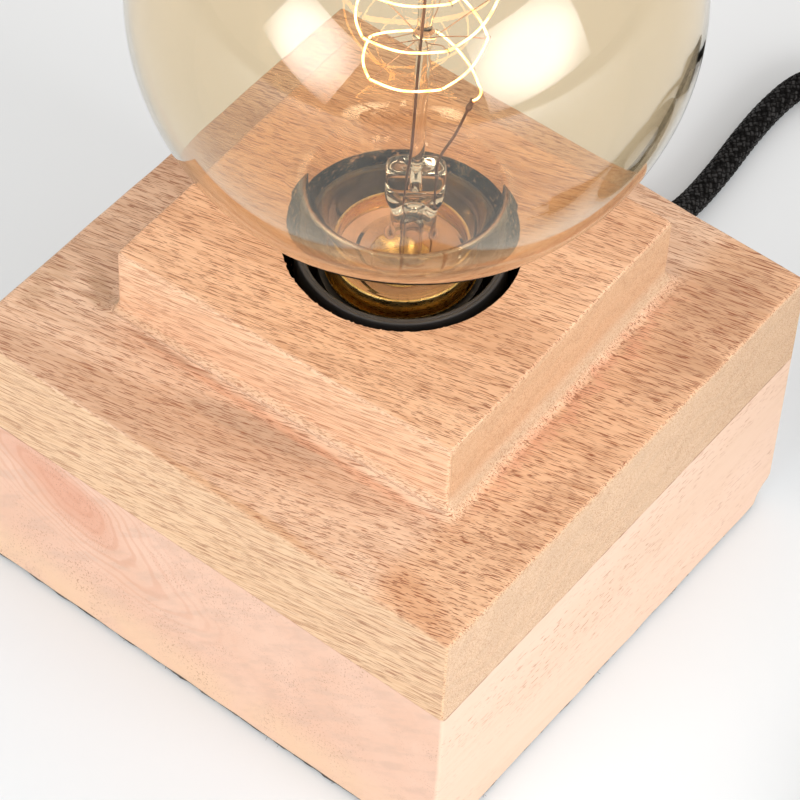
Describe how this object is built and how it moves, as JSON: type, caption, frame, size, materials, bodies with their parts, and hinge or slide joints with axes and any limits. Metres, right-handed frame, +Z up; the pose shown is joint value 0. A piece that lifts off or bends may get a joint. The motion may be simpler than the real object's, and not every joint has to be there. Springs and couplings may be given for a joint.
{
  "type": "table lamp",
  "caption": "Bare bulb table lamp: stepped wooden block with a carved square, sunk screw lampholder, unscrewing globe bulb, braided cord, in-line rocker switch and plug.",
  "frame": {"origin": "centre of the block's underside, on the table", "axes": "+Z up, +Y out of the back, where the cord leaves, +X to the right of the front"},
  "size_m": [0.211, 0.2285, 0.1895],
  "materials": {
    "wood_upper": "planed and sanded, unvarnished, with dark pores",
    "wood_lower": "planed and sanded, unvarnished, pinkish with a knot",
    "plate_wood": "birch plywood",
    "felt": "pressed felt",
    "zinc_screw": "zinc plated",
    "brass": "plain",
    "washer_steel": "plain",
    "holder_black": "moulded, satin",
    "shell_brass": "pressed sheet",
    "cap_brass": "pressed sheet",
    "solder": "solder",
    "cap_glass": "black glass",
    "amber_glass": "clear amber, blown",
    "stem_glass": "clear",
    "lead_wire": "drawn wire",
    "filament": "glowing",
    "relief_black": "moulded",
    "braid": "braided",
    "tie_white": "moulded",
    "wire_brown": "insulation",
    "wire_blue": "insulation",
    "tie_black": "woven hook-and-loop strap",
    "switch_black": "moulded, satin",
    "rocker_black": "moulded, satin",
    "plug_black": "moulded, satin",
    "pin_metal": "nickel plated"
  },
  "bodies": {
    "lamp": {"base_felt": "felt", "cover_plate": "plate_wood", "plate_screws": "zinc_screw", "lower_board": "wood_lower", "upper_board": "wood_upper", "nipple": "brass", "nipple_nut": "brass", "nipple_washers": "washer_steel", "holder_body": "holder_black", "holder_skirt": "holder_black", "contact_block": "holder_black", "screw_shell": "shell_brass", "centre_contact": "brass", "contact_rivets": "brass", "terminals": "brass", "terminal_screws": "zinc_screw", "grub_screw": "zinc_screw", "strain_relief": "relief_black", "cord_inside": "braid", "cable_tie": "tie_white", "wire_live": "wire_brown", "wire_neutral": "wire_blue", "cord_out": "braid", "cord_mid": "braid", "cord_coil": "braid", "cord_end": "braid", "coil_tie": "tie_black", "cord_tails": "braid", "switch_base": "switch_black", "switch_cover": "switch_black", "rocker_pivot": "zinc_screw", "switch_contacts": "brass", "switch_screws": "zinc_screw", "switch_wires": "wire_blue", "plug_body": "plug_black", "plug_relief": "relief_black", "plug_pins": "pin_metal", "plug_sleeves": "plug_black"},
    "bulb_rise": {"bulb_tip": "solder"},
    "bulb": {"bulb_cap": "cap_brass", "bulb_insulator": "cap_glass", "bulb_glass": "amber_glass", "bulb_stem": "stem_glass", "exhaust_tube": "stem_glass", "glass_rod": "stem_glass", "lead_wires": "lead_wire", "support_wires": "lead_wire", "filament": "filament"},
    "rocker": {"switch_rocker": "rocker_black", "rocker_contact": "brass"}
  },
  "joints": [
    {"name": "bulb_lift", "type": "slide", "parent": "lamp", "child": "bulb_rise", "axis": [0, 0, 1], "range_m": [0, 0.0255]},
    {"name": "bulb_turn", "type": "hinge", "parent": "bulb_rise", "child": "bulb", "pos_m": [0, 0.0025, 0], "axis": [0, 0, 1], "range_deg": [0, 2520]},
    {"name": "rocker_tilt", "type": "hinge", "parent": "lamp", "child": "rocker", "pos_m": [0.075, 0.161, 0.0153], "axis": [0, 1, 0], "range_deg": [0, 16]}
  ],
  "couplings": [
    {"joint": "bulb_lift", "follows": "bulb_turn", "m_per_rad": 0.00057757}
  ]
}
